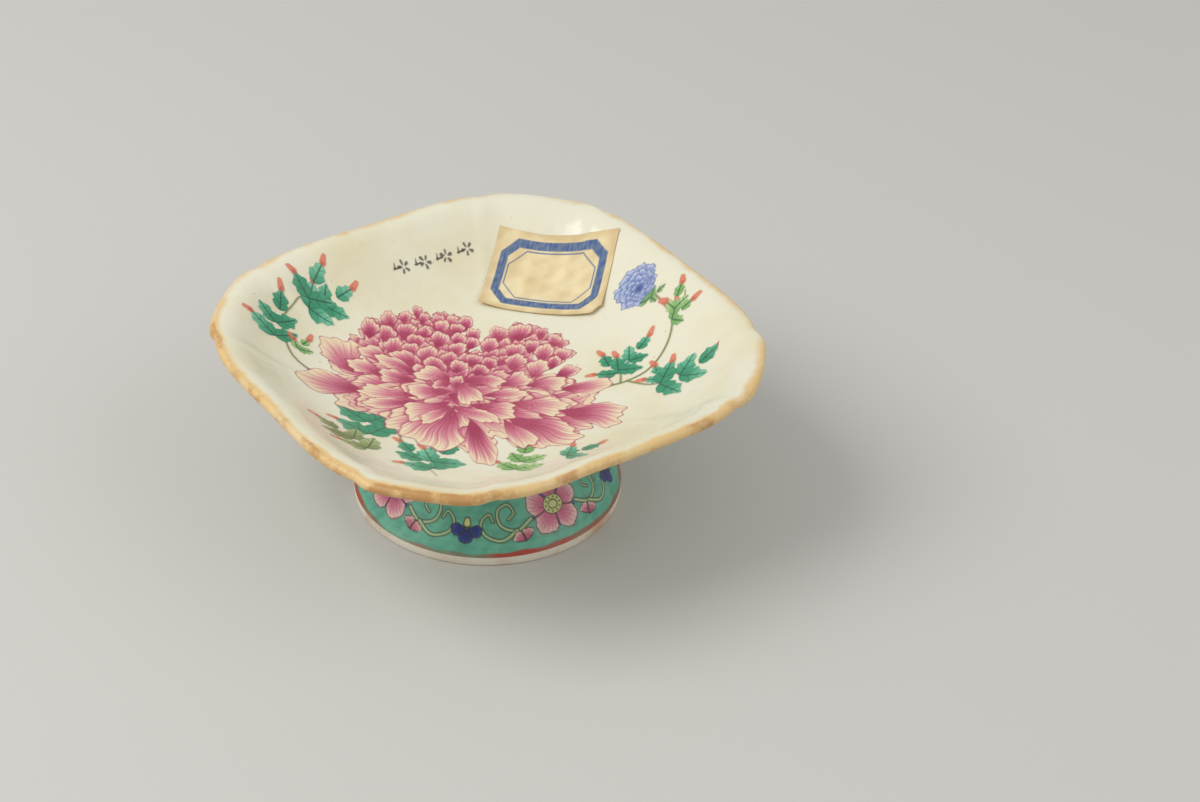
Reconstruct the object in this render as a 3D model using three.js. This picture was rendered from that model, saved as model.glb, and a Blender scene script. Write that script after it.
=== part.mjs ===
// Footed porcelain dish: a rounded square with indented corners, on a hollow flared round foot,
// with an aged paper label pasted inside it.
// Millimetres, +Z up. The origin is the centre of the foot's resting edge. The dish's four bulging
// sides face +X, -X, +Y and -Y, and its four lobed corners lie on the diagonals.

import * as THREE from 'three';

// Rim outline, seen from above
const sideHalfWidth = 83;        // from the axis to the middle of a side
const lobeRadius = 93.9;         // from the axis to the middle of a corner lobe
const lobeFall = 2.75;           // how far a lobe has drawn in where its notch begins
const sideFall = 5.73;           // how far a side has drawn in from its straight line there
const notchAngle = 14;           // degrees from a corner's middle to its notch
const notchSoftness = 2.4;       // degrees on either side over which the notch turns
const lobePower = 6;             // a lobe keeps its radius, then drops quickly
const sidePower = 4.65;          // a side stays straight, then drops quickly
const lobeLimit = 1.4;           // share of the way to the notch after which a lobe draws in no more
const sideLimit = 1.2;           // and a side

// Dish, in the section through the middle of a side
const totalHeight = 63.3;
const wellDepth = 24.2;          // from the rim down to the flat floor
const floorRadius = 19;          // the flat floor
const wallPull = 68;             // where the wall stands: the reach of the profile's S-curve
const roundRadius = 28;          // inside this the dish is round
const squareRadius = 70;         // outside this it follows the rim outline
const bodyThickness = 4.6;       // floor and wall
const lipThickness = 3.4;        // at the rim
const lipWidth = 9;              // over which the body thins to the lip

// Joint between the dish and its foot
const neckRadius = 27.5;         // outside of the foot's top
const footWall = 4.5;
const stubHeight = 1.5;          // ring under the dish that the foot is luted to
const slipThickness = 1;         // dried slip in the joint
const slipProud = 0.4;           // how far the slip stands out of the joint
const slipShoulder = 0.1;        // and how far at the top and bottom of its bead
const neckFillet = 5;            // soft turn from the ring into the dish's underside

// Foot
const footRadius = 46.5;         // outside of the resting edge
const edgeHeight = 3.3;          // upright edge at the bottom of the foot
const edgeLean = 0.2;            // how far that edge leans in
const edgeRound = 0.8;           // its worn corners
const flareRadius = 33.2;        // the flare's curve is drawn towards this radius
const flareHeight = 20.5;        // and this height

// Paper label and the dried paste under it
const labelWidth = 44;           // across
const labelReach = 31;           // up the wall, seen from above
const labelMargin = 15.9;        // from the corner lobe's rim to the label's far edge
const labelShift = 8.5;          // its middle's distance from the corner's diagonal
const labelThickness = 0.25;
const labelClip = 3;             // corner that is torn off
const pasteInset = 1.5;          // the paste stops short of the label's edge
const pasteThickness = 0.15;
const pasteGap = 0.3;            // clearance to the glazed wall
const labelGap = 0.3;            // clearance to the paste

// Facets
const dishSteps = 128;
const footSteps = 80;
const wallSteps = 11;
const flareSteps = 7;
const labelColumns = 12;
const labelRows = 9;
const lipTurns = [30, 60, 90, 120, 150];  // degrees round the lip
const filletTurns = [25, 55, 90];         // degrees round the turn into the underside
const halvings = 40;             // steps of each search for a height

const degree = Math.PI / 180;
const floorHeight = totalHeight - wellDepth;
const underFloorHeight = floorHeight - bodyThickness;
const stubFace = underFloorHeight - stubHeight;
const footTop = stubFace - slipThickness;
const neckInner = neckRadius - footWall;
const labelDistance = lobeRadius - labelMargin - labelReach / 2;

const glaze = new THREE.MeshStandardMaterial({ color: '#ebe7cf', roughness: 0.22, metalness: 0 });
const enamel = new THREE.MeshStandardMaterial({ color: '#6fae9c', roughness: 0.32, metalness: 0 });
const slip = new THREE.MeshStandardMaterial({ color: '#d9d2bd', roughness: 0.6, metalness: 0 });
const paste = new THREE.MeshStandardMaterial({ color: '#c9b88c', roughness: 0.75, metalness: 0 });
const paper = new THREE.MeshStandardMaterial({ color: '#e6d4a4', roughness: 0.9, metalness: 0 });

/** A share that rises smoothly from 0 at low to 1 at high. */
function smoothShare(value, low, high) {
  const share = Math.min(Math.max((value - low) / (high - low), 0), 1);
  return share * share * (3 - 2 * share);
}

/** Radius of the rim at an angle round the axis: lobes and sides that meet in soft notches. */
function rimRadius(angle) {
  const quarter = 90 * degree;
  const turned = angle + quarter / 2;
  const fromSide = Math.abs(turned - quarter * Math.floor(turned / quarter) - quarter / 2) / degree;
  const fromCorner = 45 - fromSide;
  const sideShare = Math.min(fromSide / (45 - notchAngle), sideLimit);
  const side = sideHalfWidth / Math.cos(fromSide * degree) - sideFall * sideShare ** sidePower;
  const lobeShare = Math.min(fromCorner / notchAngle, lobeLimit);
  const lobe = lobeRadius - lobeFall * lobeShare ** lobePower;
  const share = smoothShare(fromCorner, notchAngle - notchSoftness, notchAngle + notchSoftness);
  return lobe + (side - lobe) * share;
}

/** Plan radius of the dish at an angle, for a radius in the section through a side's middle. */
function dishRadius(angle, sectionRadius) {
  const square = smoothShare(sectionRadius, roundRadius, squareRadius);
  return sectionRadius * (1 + square * (rimRadius(angle) / sideHalfWidth - 1));
}

/** The inside of the dish, from the floor's edge to the rim: one S-curve. */
const wallCurve = new THREE.CubicBezierCurve(
  new THREE.Vector2(floorRadius, floorHeight),
  new THREE.Vector2(wallPull, floorHeight),
  new THREE.Vector2(wallPull, totalHeight),
  new THREE.Vector2(sideHalfWidth - lipThickness / 2, totalHeight),
);

/** Height of the inside of the dish at a radius in the section through a side's middle. */
function wallHeight(sectionRadius) {
  if (sectionRadius <= floorRadius) {
    return floorHeight;
  }
  let low = 0;
  let high = 1;
  for (let step = 0; step < halvings; step += 1) {
    const middle = (low + high) / 2;
    if (wallCurve.getPoint(middle).x < sectionRadius) {
      low = middle;
    } else {
      high = middle;
    }
  }
  return wallCurve.getPoint(low).y;
}

/** Height of the inside of the dish over a point of the plan. */
function surfaceHeight(x, y) {
  const angle = Math.atan2(y, x);
  const radius = Math.hypot(x, y);
  let low = 0;
  let high = sideHalfWidth;
  for (let step = 0; step < halvings; step += 1) {
    const middle = (low + high) / 2;
    if (dishRadius(angle, middle) < radius) {
      low = middle;
    } else {
      high = middle;
    }
  }
  return wallHeight(low);
}

/** An indexed geometry with its normals. */
function solidFrom(positions, index) {
  const geometry = new THREE.BufferGeometry();
  geometry.setAttribute('position', new THREE.Float32BufferAttribute(positions, 3));
  geometry.setIndex(index);
  geometry.computeVertexNormals();
  return geometry;
}

/**
 * Carries a profile of [radius, height] points round the axis. It starts and ends on the axis, or
 * closes on itself, and runs over the top of the solid outwards and back underneath.
 */
function carryRound(profile, steps, radiusAt) {
  const positions = [];
  const index = [];
  const rows = profile.map(([radius, height]) => {
    const first = positions.length / 3;
    const count = radius === 0 ? 1 : steps;
    for (let step = 0; step < count; step += 1) {
      const angle = (step / steps) * 2 * Math.PI;
      const reach = radiusAt(angle, radius);
      positions.push(reach * Math.cos(angle), reach * Math.sin(angle), height);
    }
    return { first, count };
  });
  const opensOnAxis = rows[0].count === 1;
  const bands = opensOnAxis ? rows.length - 1 : rows.length;
  for (let band = 0; band < bands; band += 1) {
    const from = rows[band];
    const to = rows[(band + 1) % rows.length];
    for (let step = 0; step < steps; step += 1) {
      const next = (step + 1) % steps;
      const a = from.first + (from.count === 1 ? 0 : step);
      const b = to.first + (to.count === 1 ? 0 : step);
      const c = to.first + (to.count === 1 ? 0 : next);
      const d = from.first + (from.count === 1 ? 0 : next);
      if (to.count > 1) {
        index.push(a, b, c);
      }
      if (from.count > 1) {
        index.push(a, c, d);
      }
    }
  }
  return solidFrom(positions, index);
}

/** Radius of a plain round solid: the profile's own. */
function roundRadiusAt(angle, radius) {
  return radius;
}

/** The dish: floor, wall and rounded lip, its underside, and the ring that the foot joins. */
function dishGeometry() {
  const profile = [[0, floorHeight]];
  const inside = wallCurve.getPoints(wallSteps);
  inside.forEach((point) => profile.push([point.x, point.y]));
  const lipTurn = lipThickness / 2;
  for (const turn of lipTurns) {
    profile.push([
      sideHalfWidth - lipTurn + lipTurn * Math.sin(turn * degree),
      totalHeight - lipTurn + lipTurn * Math.cos(turn * degree),
    ]);
  }
  const underside = inside.filter((point) => point.x > neckRadius + neckFillet).reverse();
  underside.forEach((point) => {
    const thin = smoothShare(point.x, sideHalfWidth - lipTurn - lipWidth, sideHalfWidth - lipTurn);
    const thickness = bodyThickness + (lipThickness - bodyThickness) * thin;
    profile.push([point.x, point.y - thickness]);
  });
  for (const turn of filletTurns) {
    profile.push([
      neckRadius + neckFillet * (1 - Math.sin(turn * degree)),
      stubFace + stubHeight * Math.cos(turn * degree),
    ]);
  }
  profile.push([neckInner, stubFace], [neckInner, underFloorHeight], [0, underFloorHeight]);
  return carryRound(profile, dishSteps, dishRadius);
}

/** The hollow foot: a flared wall of even thickness on a flat resting edge. */
function footGeometry() {
  const flare = new THREE.QuadraticBezierCurve(
    new THREE.Vector2(footRadius - edgeLean, edgeHeight),
    new THREE.Vector2(flareRadius, flareHeight),
    new THREE.Vector2(neckRadius, footTop),
  );
  const outer = [];
  const inner = [];
  for (let step = 0; step <= flareSteps; step += 1) {
    const share = step / flareSteps;
    const point = flare.getPoint(share);
    const along = flare.getTangent(share);
    outer.push([point.x, point.y]);
    inner.push([point.x - along.y * footWall, point.y + along.x * footWall]);
  }
  const edge = [
    [footRadius, edgeRound],
    [footRadius - edgeRound, 0],
    [inner[0][0] + edgeRound, 0],
  ];
  inner.pop();
  return carryRound([[neckInner, footTop], ...outer.reverse(), ...edge, ...inner], footSteps, roundRadiusAt);
}

/** The ring of dried slip, with a slight bead inside and outside the joint. */
function slipGeometry() {
  const middle = (stubFace + footTop) / 2;
  const profile = [
    [neckInner - slipShoulder, stubFace],
    [neckRadius + slipShoulder, stubFace],
    [neckRadius + slipProud, middle],
    [neckRadius + slipShoulder, footTop],
    [neckInner - slipShoulder, footTop],
    [neckInner - slipProud, middle],
  ];
  return carryRound(profile, footSteps, roundRadiusAt);
}

/** A thin sheet that lies along the wall, with one corner clipped, from a lift over the glaze. */
function sheetGeometry(width, reach, lift, thickness, clip) {
  const diagonal = 45 * degree;
  const positions = [];
  const index = [];
  for (const height of [lift, lift + thickness]) {
    for (let row = 0; row <= labelRows; row += 1) {
      for (let column = 0; column <= labelColumns; column += 1) {
        const low = -reach / 2 + (column === labelColumns ? clip : 0);
        const out = labelDistance + low + ((reach / 2 - low) * row) / labelRows;
        const across = labelShift + width * (column / labelColumns - 0.5);
        const x = out * Math.cos(diagonal) + across * Math.sin(diagonal);
        const y = out * Math.sin(diagonal) - across * Math.cos(diagonal);
        positions.push(x, y, surfaceHeight(x, y) + height);
      }
    }
  }
  const stride = labelColumns + 1;
  const layer = stride * (labelRows + 1);
  const quad = (a, b, c, d) => index.push(a, b, c, a, c, d);
  for (let row = 0; row < labelRows; row += 1) {
    for (let column = 0; column < labelColumns; column += 1) {
      const corner = row * stride + column;
      quad(corner + layer, corner + layer + 1, corner + layer + stride + 1, corner + layer + stride);
      quad(corner, corner + stride, corner + stride + 1, corner + 1);
    }
  }
  for (let column = 0; column < labelColumns; column += 1) {
    const far = labelRows * stride + column;
    quad(column, column + 1, column + 1 + layer, column + layer);
    quad(far + 1, far, far + layer, far + 1 + layer);
  }
  for (let row = 0; row < labelRows; row += 1) {
    const left = row * stride;
    const right = left + labelColumns;
    quad(left + stride, left, left + layer, left + stride + layer);
    quad(right, right + stride, right + stride + layer, right + layer);
  }
  return solidFrom(positions, index);
}

/** A named piece of the dish. */
function piece(name, geometry, material) {
  const mesh = new THREE.Mesh(geometry, material);
  mesh.name = name;
  return mesh;
}

const pasteLift = pasteGap;
const labelLift = pasteGap + pasteThickness + labelGap;
const pasteWidth = labelWidth - 2 * pasteInset;
const pasteReach = labelReach - 2 * pasteInset;

const footedDish = new THREE.Group();
footedDish.add(
  piece('dish', dishGeometry(), glaze),
  piece('luting_slip', slipGeometry(), slip),
  piece('foot', footGeometry(), enamel),
  piece('label_paste', sheetGeometry(pasteWidth, pasteReach, pasteLift, pasteThickness, labelClip), paste),
  piece('paper_label', sheetGeometry(labelWidth, labelReach, labelLift, labelThickness, labelClip), paper),
);

export default footedDish;
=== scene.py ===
"""A footed porcelain dish with a peony spray, a lotus-scroll foot and an aged paper label.

Blender works in metres with +Z up. The shapes below are worked out in millimetres, on the same
origin as the construction, and scaled once when a mesh is made.
"""

import logging
import math
from dataclasses import dataclass, replace
from enum import Enum
from typing import Callable

import bmesh
import bpy
import numpy as np
from mathutils import Matrix, Vector

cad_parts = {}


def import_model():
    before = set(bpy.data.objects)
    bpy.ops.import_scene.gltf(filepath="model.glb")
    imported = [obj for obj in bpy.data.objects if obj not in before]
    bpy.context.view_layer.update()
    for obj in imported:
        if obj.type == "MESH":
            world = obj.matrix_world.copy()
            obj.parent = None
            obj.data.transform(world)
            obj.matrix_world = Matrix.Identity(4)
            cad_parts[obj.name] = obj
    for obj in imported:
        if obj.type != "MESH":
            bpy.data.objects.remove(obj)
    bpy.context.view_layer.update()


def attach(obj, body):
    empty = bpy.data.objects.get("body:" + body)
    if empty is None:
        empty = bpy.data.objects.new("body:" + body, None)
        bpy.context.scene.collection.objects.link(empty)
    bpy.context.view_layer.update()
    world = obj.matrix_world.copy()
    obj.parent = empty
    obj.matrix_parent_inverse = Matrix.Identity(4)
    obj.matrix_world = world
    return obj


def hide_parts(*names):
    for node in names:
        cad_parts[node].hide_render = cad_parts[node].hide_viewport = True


LOG = logging.getLogger("footed_dish")
MM = 0.001
DIAGONAL = math.radians(45.0)
FULL_TURN = 2.0 * math.pi
WHOLE = (slice(None), slice(None))
Array = np.ndarray
Colour = tuple[float, float, float]
Point = tuple[float, float]
Window = tuple[slice, slice]

# Colours as they look, 0 to 255
GLAZE = (236, 232, 208)
GLAZE_WARM = (228, 218, 178)
# The glaze painted greyer for the dish's outside and underside: painted shade
GLAZE_UNDERSIDE_SHADE = (214, 214, 202)
OCHRE = (228, 190, 122)
OCHRE_DARK = (176, 116, 54)
IRON_SPOT = (122, 88, 46)
VEIN = (28, 62, 48)
STEM = (122, 124, 74)
BUD_RED = (212, 98, 66)
BUD_PALE = (232, 150, 120)
INK = (64, 58, 44)
WASH = (206, 112, 134)
CRIMSON = (138, 34, 66)
TURQUOISE = (108, 186, 158)
TURQUOISE_DARK = (66, 142, 118)
VINE = (176, 206, 150)
OUTLINE = (52, 48, 40)
SEED_YELLOW = (206, 210, 130)
BLUE_DARK = (58, 78, 142)
PENDANT_BLUE = (36, 52, 124)
LOTUS_PINK = (206, 96, 128)
LOTUS_TIP = (238, 206, 190)
IRON_RED = (178, 66, 42)
ENAMEL_DUST = (120, 104, 76)
PAPER = (242, 225, 180)
PAPER_STAIN = (196, 160, 104)
FRAME_BLUE = (72, 100, 150)
FLOOR = (206, 204, 198)

# Radii that the dish, its foot and the slip between them share, in millimetres
NECK_RADIUS = 27.5
NECK_INNER = 23.0


def to_linear(colour: Array | tuple) -> Array:
    """Turns colours as they look, 0 to 255, into the linear values that a shader takes."""
    value = np.asarray(colour, float) / 255.0
    return np.where(value <= 0.04045, value / 12.92, ((value + 0.055) / 1.055) ** 2.4)


def smooth(value: Array, low: float, high: float) -> Array:
    """A share that rises smoothly from 0 at low to 1 at high."""
    share = np.clip((value - low) / (high - low), 0.0, 1.0)
    return share * share * (3.0 - 2.0 * share)


def blend(first: Array | tuple, second: Array | tuple, share: Array) -> Array:
    """Mixes two colours by a share for each point."""
    start = np.asarray(first, float)
    return start + share[..., None] * (np.asarray(second, float) - start)


def bezier(share: Array, *values: float) -> Array:
    """One coordinate of a Bezier curve at a share of its way, from that of its control points."""
    last = len(values) - 1
    weights = (math.comb(last, k) * share**k * (1.0 - share) ** (last - k) for k in range(last + 1))
    return sum(weight * value for weight, value in zip(weights, values))


def polar(centre: Point, angle: float, reach: float) -> Point:
    """The point at a reach from a centre, in a direction in degrees."""
    turned = math.radians(angle)
    return centre[0] + reach * math.cos(turned), centre[1] + reach * math.sin(turned)


def ripple(a: Array, b: Array, scale: float, seed: int) -> Array:
    """Soft unevenness between about -1 and 1: a sum of waves that run in seeded directions.

    Args:
        a: First coordinate.
        b: Second coordinate, in the same unit.
        scale: Length of the longest wave.
        seed: Names one pattern.

    Returns:
        The sum of eight plane waves, each shorter than the one before.
    """
    rng = np.random.default_rng(seed)
    total = np.zeros(np.broadcast(a, b).shape)
    for order in range(8):
        heading = rng.uniform(0.0, FULL_TURN)
        phase = rng.uniform(0.0, FULL_TURN)
        wave = FULL_TURN / (scale * 0.8**order)
        total += np.sin(wave * (a * math.cos(heading) + b * math.sin(heading)) + phase)
    return total / 3.2


@dataclass(frozen=True)
class Form:
    """The dish's surfaces, in millimetres: the same outline and section as the construction."""

    side_half_width: float = 83.0
    lobe_radius: float = 93.9
    lobe_fall: float = 2.75
    lobe_power: float = 6.0
    lobe_limit: float = 1.4
    side_fall: float = 5.73
    side_power: float = 4.65
    side_limit: float = 1.2
    notch_angle: float = 14.0
    notch_softness: float = 2.4
    total_height: float = 63.3
    well_depth: float = 24.2
    floor_radius: float = 19.0
    wall_pull: float = 68.0
    round_radius: float = 28.0
    square_radius: float = 70.0
    body_thickness: float = 4.6
    lip_thickness: float = 3.4
    lip_width: float = 9.0
    wave_height: float = 0.32
    wave_length: float = 120.0
    still_radius: float = 30.0
    wavy_radius: float = 90.0
    halvings: int = 26

    def rim_radius(self, angle: Array) -> Array:
        """Radius of the rim: flat-topped lobes and nearly straight sides that meet in notches."""
        turned = np.degrees(angle) + 45.0
        from_side = np.abs(turned - 90.0 * np.floor(turned / 90.0) - 45.0)
        from_corner = 45.0 - from_side
        side_share = np.minimum(from_side / (45.0 - self.notch_angle), self.side_limit)
        side = self.side_half_width / np.cos(np.radians(from_side))
        side = side - self.side_fall * side_share**self.side_power
        lobe_share = np.minimum(from_corner / self.notch_angle, self.lobe_limit)
        lobe = self.lobe_radius - self.lobe_fall * lobe_share**self.lobe_power
        low = self.notch_angle - self.notch_softness
        share = smooth(from_corner, low, low + 2.0 * self.notch_softness)
        return lobe + (side - lobe) * share

    def plan_radius(self, angle: Array, section: Array) -> Array:
        """Plan radius at an angle, for a radius in the section through a side's middle."""
        square = smooth(section, self.round_radius, self.square_radius)
        return section * (1.0 + square * (self.rim_radius(angle) / self.side_half_width - 1.0))

    def wall(self, count: int = 400) -> tuple[Array, Array]:
        """Section radius and height of the inside: a cubic S-curve from the floor to the rim."""
        share = np.linspace(0.0, 1.0, count)
        end = self.side_half_width - self.lip_thickness / 2.0
        floor = self.total_height - self.well_depth
        radius = bezier(share, self.floor_radius, self.wall_pull, self.wall_pull, end)
        return radius, bezier(share, floor, floor, self.total_height, self.total_height)

    def unevenness(self, x: Array, y: Array) -> Array:
        """The hand-made waviness of the dish, which is still at the foot and grows to the rim."""
        grow = self.wave_height * smooth(np.hypot(x, y), self.still_radius, self.wavy_radius)
        return grow * (ripple(x, y, self.wave_length, 5) - 1.0)

    def height(self, x: Array, y: Array) -> Array:
        """Height of the inside over points of the plan, found by halving the section radius."""
        angle = np.arctan2(y, x)
        radius = np.hypot(x, y)
        low = np.zeros_like(radius)
        high = np.full_like(radius, self.side_half_width)
        for _ in range(self.halvings):
            middle = (low + high) / 2.0
            short = self.plan_radius(angle, middle) < radius
            low = np.where(short, middle, low)
            high = np.where(short, high, middle)
        section, rise = self.wall()
        return np.interp(low, section, rise) + self.unevenness(x, y)


class Mesher:
    """Puts worked-out surfaces into meshes."""

    @staticmethod
    def piece(name: str, points: Array, faces: Array, flags: dict | None = None) -> bpy.types.Object:
        """Makes an object from points in millimetres.

        Args:
            name: Name of the object.
            points: Corner points, one row each.
            faces: Quads as rows of four point numbers.
            flags: Values or colours for each point, by attribute name.

        Returns:
            The new object, smooth shaded, at the origin.
        """
        mesh = bpy.data.meshes.new(name)
        count = len(faces)
        mesh.vertices.add(len(points))
        mesh.vertices.foreach_set("co", (np.asarray(points) * MM).astype(np.float32).ravel())
        mesh.loops.add(count * 4)
        mesh.loops.foreach_set("vertex_index", faces.astype(np.int32).ravel())
        mesh.polygons.add(count)
        mesh.polygons.foreach_set("loop_start", np.arange(0, count * 4, 4, dtype=np.int32))
        mesh.polygons.foreach_set("use_smooth", np.ones(count, bool))
        mesh.update(calc_edges=True)
        mesh.validate()
        for label, values in (flags or {}).items():
            if values.ndim == 1:
                layer = mesh.attributes.new(label, "FLOAT", "POINT")
                layer.data.foreach_set("value", values.astype(np.float32))
            else:
                layer = mesh.color_attributes.new(label, "FLOAT_COLOR", "POINT")
                rgba = np.concatenate([values, np.ones((len(values), 1))], 1)
                layer.data.foreach_set("color", rgba.astype(np.float32).ravel())
        piece = bpy.data.objects.new(name, mesh)
        bpy.context.scene.collection.objects.link(piece)
        return piece

    @staticmethod
    def band_faces(rows: int, steps: int, closed: bool) -> Array:
        """Quads between rings of points; closed also joins the last ring to the first."""
        bands = rows if closed else rows - 1
        row = np.arange(bands)[:, None]
        step = np.arange(steps)[None, :]
        ahead = (row + 1) % rows
        turn = (step + 1) % steps
        corners = (row * steps + step, ahead * steps + step, ahead * steps + turn, row * steps + turn)
        return np.stack(np.broadcast_arrays(*corners), -1).reshape(-1, 4)

    @staticmethod
    def turned(name: str, section: Array, steps: int) -> bpy.types.Object:
        """Carries a closed section of radius and height round the axis."""
        angle = np.linspace(0.0, FULL_TURN, steps, endpoint=False)
        x = section[:, :1] * np.cos(angle)
        y = section[:, :1] * np.sin(angle)
        points = np.stack([x, y, np.broadcast_to(section[:, 1:2], x.shape)], -1).reshape(-1, 3)
        return Mesher.piece(name, points, Mesher.band_faces(len(section), steps, closed=True))

    @staticmethod
    def sheet_faces(keep: Array) -> Array:
        """Quads of a grid of points, only where keep is true at all four corners."""
        number = np.arange(keep.size).reshape(keep.shape)
        corners = (number[:-1, :-1], number[:-1, 1:], number[1:, 1:], number[1:, :-1])
        held = keep[:-1, :-1] & keep[:-1, 1:] & keep[1:, 1:] & keep[1:, :-1]
        return np.stack(corners, -1)[held]


class Canvas:
    """A grid on which enamel is laid in painter's order, in millimetres."""

    def __init__(self, low: Point, high: Point, step: float, ground: Callable) -> None:
        """Sets up the grid.

        Args:
            low: Lowest corner.
            high: Highest corner.
            step: Distance between points.
            ground: Gives the bare colour from the two coordinates.
        """
        self.step = step
        across = np.arange(low[0], high[0] + step, step)
        up = np.arange(low[1], high[1] + step, step)
        self.u, self.v = np.meshgrid(across, up)
        self.colour = ground(self.u, self.v)
        self.cover = np.zeros(self.u.shape)
        self.low = low

    def window(self, centre: Point, reach: float) -> Window:
        """The part of the grid within a reach of a centre."""
        first = [int((centre[i] - reach - self.low[i]) / self.step) for i in (0, 1)]
        last = [int((centre[i] + reach - self.low[i]) / self.step) + 2 for i in (0, 1)]
        rows = slice(max(first[1], 0), max(last[1], 0))
        columns = slice(max(first[0], 0), max(last[0], 0))
        return rows, columns

    def lay(self, where: Window, mask: Array, colour: Array | tuple, covers: bool = True) -> None:
        """Lays a colour through a mask, and marks the place as painted unless covers is false."""
        mask = np.clip(mask, 0.0, 1.0)
        tint = np.asarray(colour, float)
        self.colour[where] += mask[..., None] * (tint - self.colour[where])
        if covers:
            self.cover[where] = np.maximum(self.cover[where], mask)

    def stroke(self, points: list[Point], width: Point, colour: Colour, force: float = 1.0) -> None:
        """Draws a tapering brush stroke.

        Args:
            points: A few points that a smooth curve runs through.
            width: Width at the start and at the end.
            colour: Colour of the stroke.
            force: How fully it covers.
        """
        path = smooth_path(points)
        centre = path.mean(0)
        reach = float(np.abs(path - centre).max()) + max(width) + 1.0
        where = self.window((centre[0], centre[1]), reach)
        u, v = self.u[where], self.v[where]
        best = np.full(u.shape, 1e9)
        half = np.zeros(u.shape)
        sizes = np.linspace(width[0], width[1], len(path)) / 2.0
        for (x, y), size in zip(path, sizes):
            away = np.hypot(u - x, v - y) - size
            half = np.where(away < best, size, half)
            best = np.minimum(best, away)
        self.lay(where, force * smooth(-best, -self.step * 0.8, self.step * 0.5), colour)


def smooth_path(points: list[Point], spacing: float = 0.3) -> Array:
    """Points along a Catmull-Rom curve through a few given points, about spacing apart."""
    given = np.asarray(points, float)
    padded = np.vstack([2 * given[0] - given[1], given, 2 * given[-1] - given[-2]])
    pieces = []
    for i in range(len(given) - 1):
        a, b, c, d = padded[i : i + 4]
        count = max(int(np.hypot(*(c - b)) / spacing), 2)
        t = np.linspace(0.0, 1.0, count, endpoint=False)[:, None]
        straight = (2 * b) + (c - a) * t + (2 * a - 5 * b + 4 * c - d) * t**2
        pieces.append(0.5 * (straight + (3 * b - a - 3 * c + d) * t**3))
    return np.vstack(pieces + [given[-1:]])


@dataclass(frozen=True)
class Tones:
    """A petal's colours: at its base, in its middle, at its edge, and of its drawn lines."""

    deep: Colour
    middle: Colour
    tip: Colour
    line: Colour


PEONY_TONES = Tones((176, 62, 96), (216, 128, 146), (240, 222, 184), CRIMSON)
ASTER_TONES = Tones((72, 92, 158), (120, 142, 200), (196, 206, 226), (58, 74, 130))
LOTUS_TONES = Tones(LOTUS_PINK, (222, 134, 154), LOTUS_TIP, (96, 30, 52))
BUD_TONES = Tones(LOTUS_PINK, (216, 128, 146), LOTUS_TIP, OUTLINE)
SEPAL_TONES = Tones(PENDANT_BLUE, BLUE_DARK, BLUE_DARK, OUTLINE)
PENDANT_TONES = Tones(PENDANT_BLUE, PENDANT_BLUE, BLUE_DARK, OUTLINE)


@dataclass
class Petal:
    """A fan-shaped petal: it opens from its base to a frilled edge.

    Depth is how far its deep colour reaches, shade the strength of the shadow round it, and spread
    half of its opening in degrees. A turned petal has a rolled edge.
    """

    base: Point
    heading: float
    length: float
    spread: float
    seed: int
    tones: Tones = PEONY_TONES
    depth: float = 0.62
    frill: float = 0.045
    shade: float = 0.55
    rounding: float = 0.30
    turned: bool = False
    outline: float = 0.5

    STREAKS = (23.0, 41.0, 67.0)
    HAIRS = 38.0
    SHADOW = 1.4
    FOLD = 0.84
    SOFT = 0.12

    def paint(self, canvas: Canvas) -> None:
        """Lays the petal: a shadow round it, its colour from base to edge, streaks and an outline."""
        rng = np.random.default_rng(self.seed)
        where = canvas.window(self.base, self.length * 1.25 + 2.0)
        du = canvas.u[where] - self.base[0]
        dv = canvas.v[where] - self.base[1]
        reach = np.hypot(du, dv) + 1e-6
        heading = math.radians(self.heading)
        ahead = du * math.cos(heading) + dv * math.sin(heading)
        turn = np.arctan2(dv * math.cos(heading) - du * math.sin(heading), ahead)
        spread = math.radians(self.spread)
        share = turn / spread + 0.16 * rng.uniform(-1.0, 1.0) * np.sin(0.35 * reach)
        phases = rng.uniform(0.0, FULL_TURN, 7)
        waves = 3.0 + 3.5 * rng.uniform()
        frill = 1.3 * np.sin(waves * share + phases[0]) + 0.7 * np.sin(2.6 * waves * share + phases[1])
        edge = self.length * (1.0 - self.rounding * np.abs(share) ** 2.4 + self.frill * frill)
        inside = np.minimum(edge - reach, (1.0 - np.abs(share)) * spread * reach)
        inside = np.where(np.abs(turn) < 2.4, inside, -5.0)
        canvas.lay(where, self.shade * smooth(inside, -self.SHADOW, 0.1), self.tones.deep, covers=False)
        streak = sum(np.sin(pitch * share + phase) for pitch, phase in zip(self.STREAKS, phases[2:5]))
        way = reach / np.maximum(edge, 0.1) + 0.05 * streak * (0.5 + reach / self.length)
        tint = blend(self.tones.deep, self.tones.middle, smooth(way, self.depth - 0.34, self.depth + 0.08))
        tint = blend(tint, self.tones.tip, smooth(way, self.depth, 1.0))
        mask = smooth(inside, -self.SOFT, self.SOFT)
        canvas.lay(where, mask, tint)
        hair = smooth(np.sin(self.HAIRS * share + phases[5]), 0.66, 1.0) * smooth(-way, -1.0, -0.3) * 0.6
        canvas.lay(where, mask * hair, self.tones.line, covers=False)
        if self.turned:
            lip = edge * (self.FOLD + 0.035 * np.sin(1.7 * waves * share + phases[6]))
            fold = smooth(-np.abs(reach - lip), -0.34, -0.10) * (np.abs(share) < 0.86)
            canvas.lay(where, 0.6 * mask * fold, self.tones.line)
            canvas.lay(where, 0.45 * mask * smooth(reach - lip, 0.0, 0.5), self.tones.tip)
        outline = smooth(inside, -0.16, 0.02) * smooth(-inside, -0.40, -0.12)
        canvas.lay(where, self.outline * outline, self.tones.line)


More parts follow.
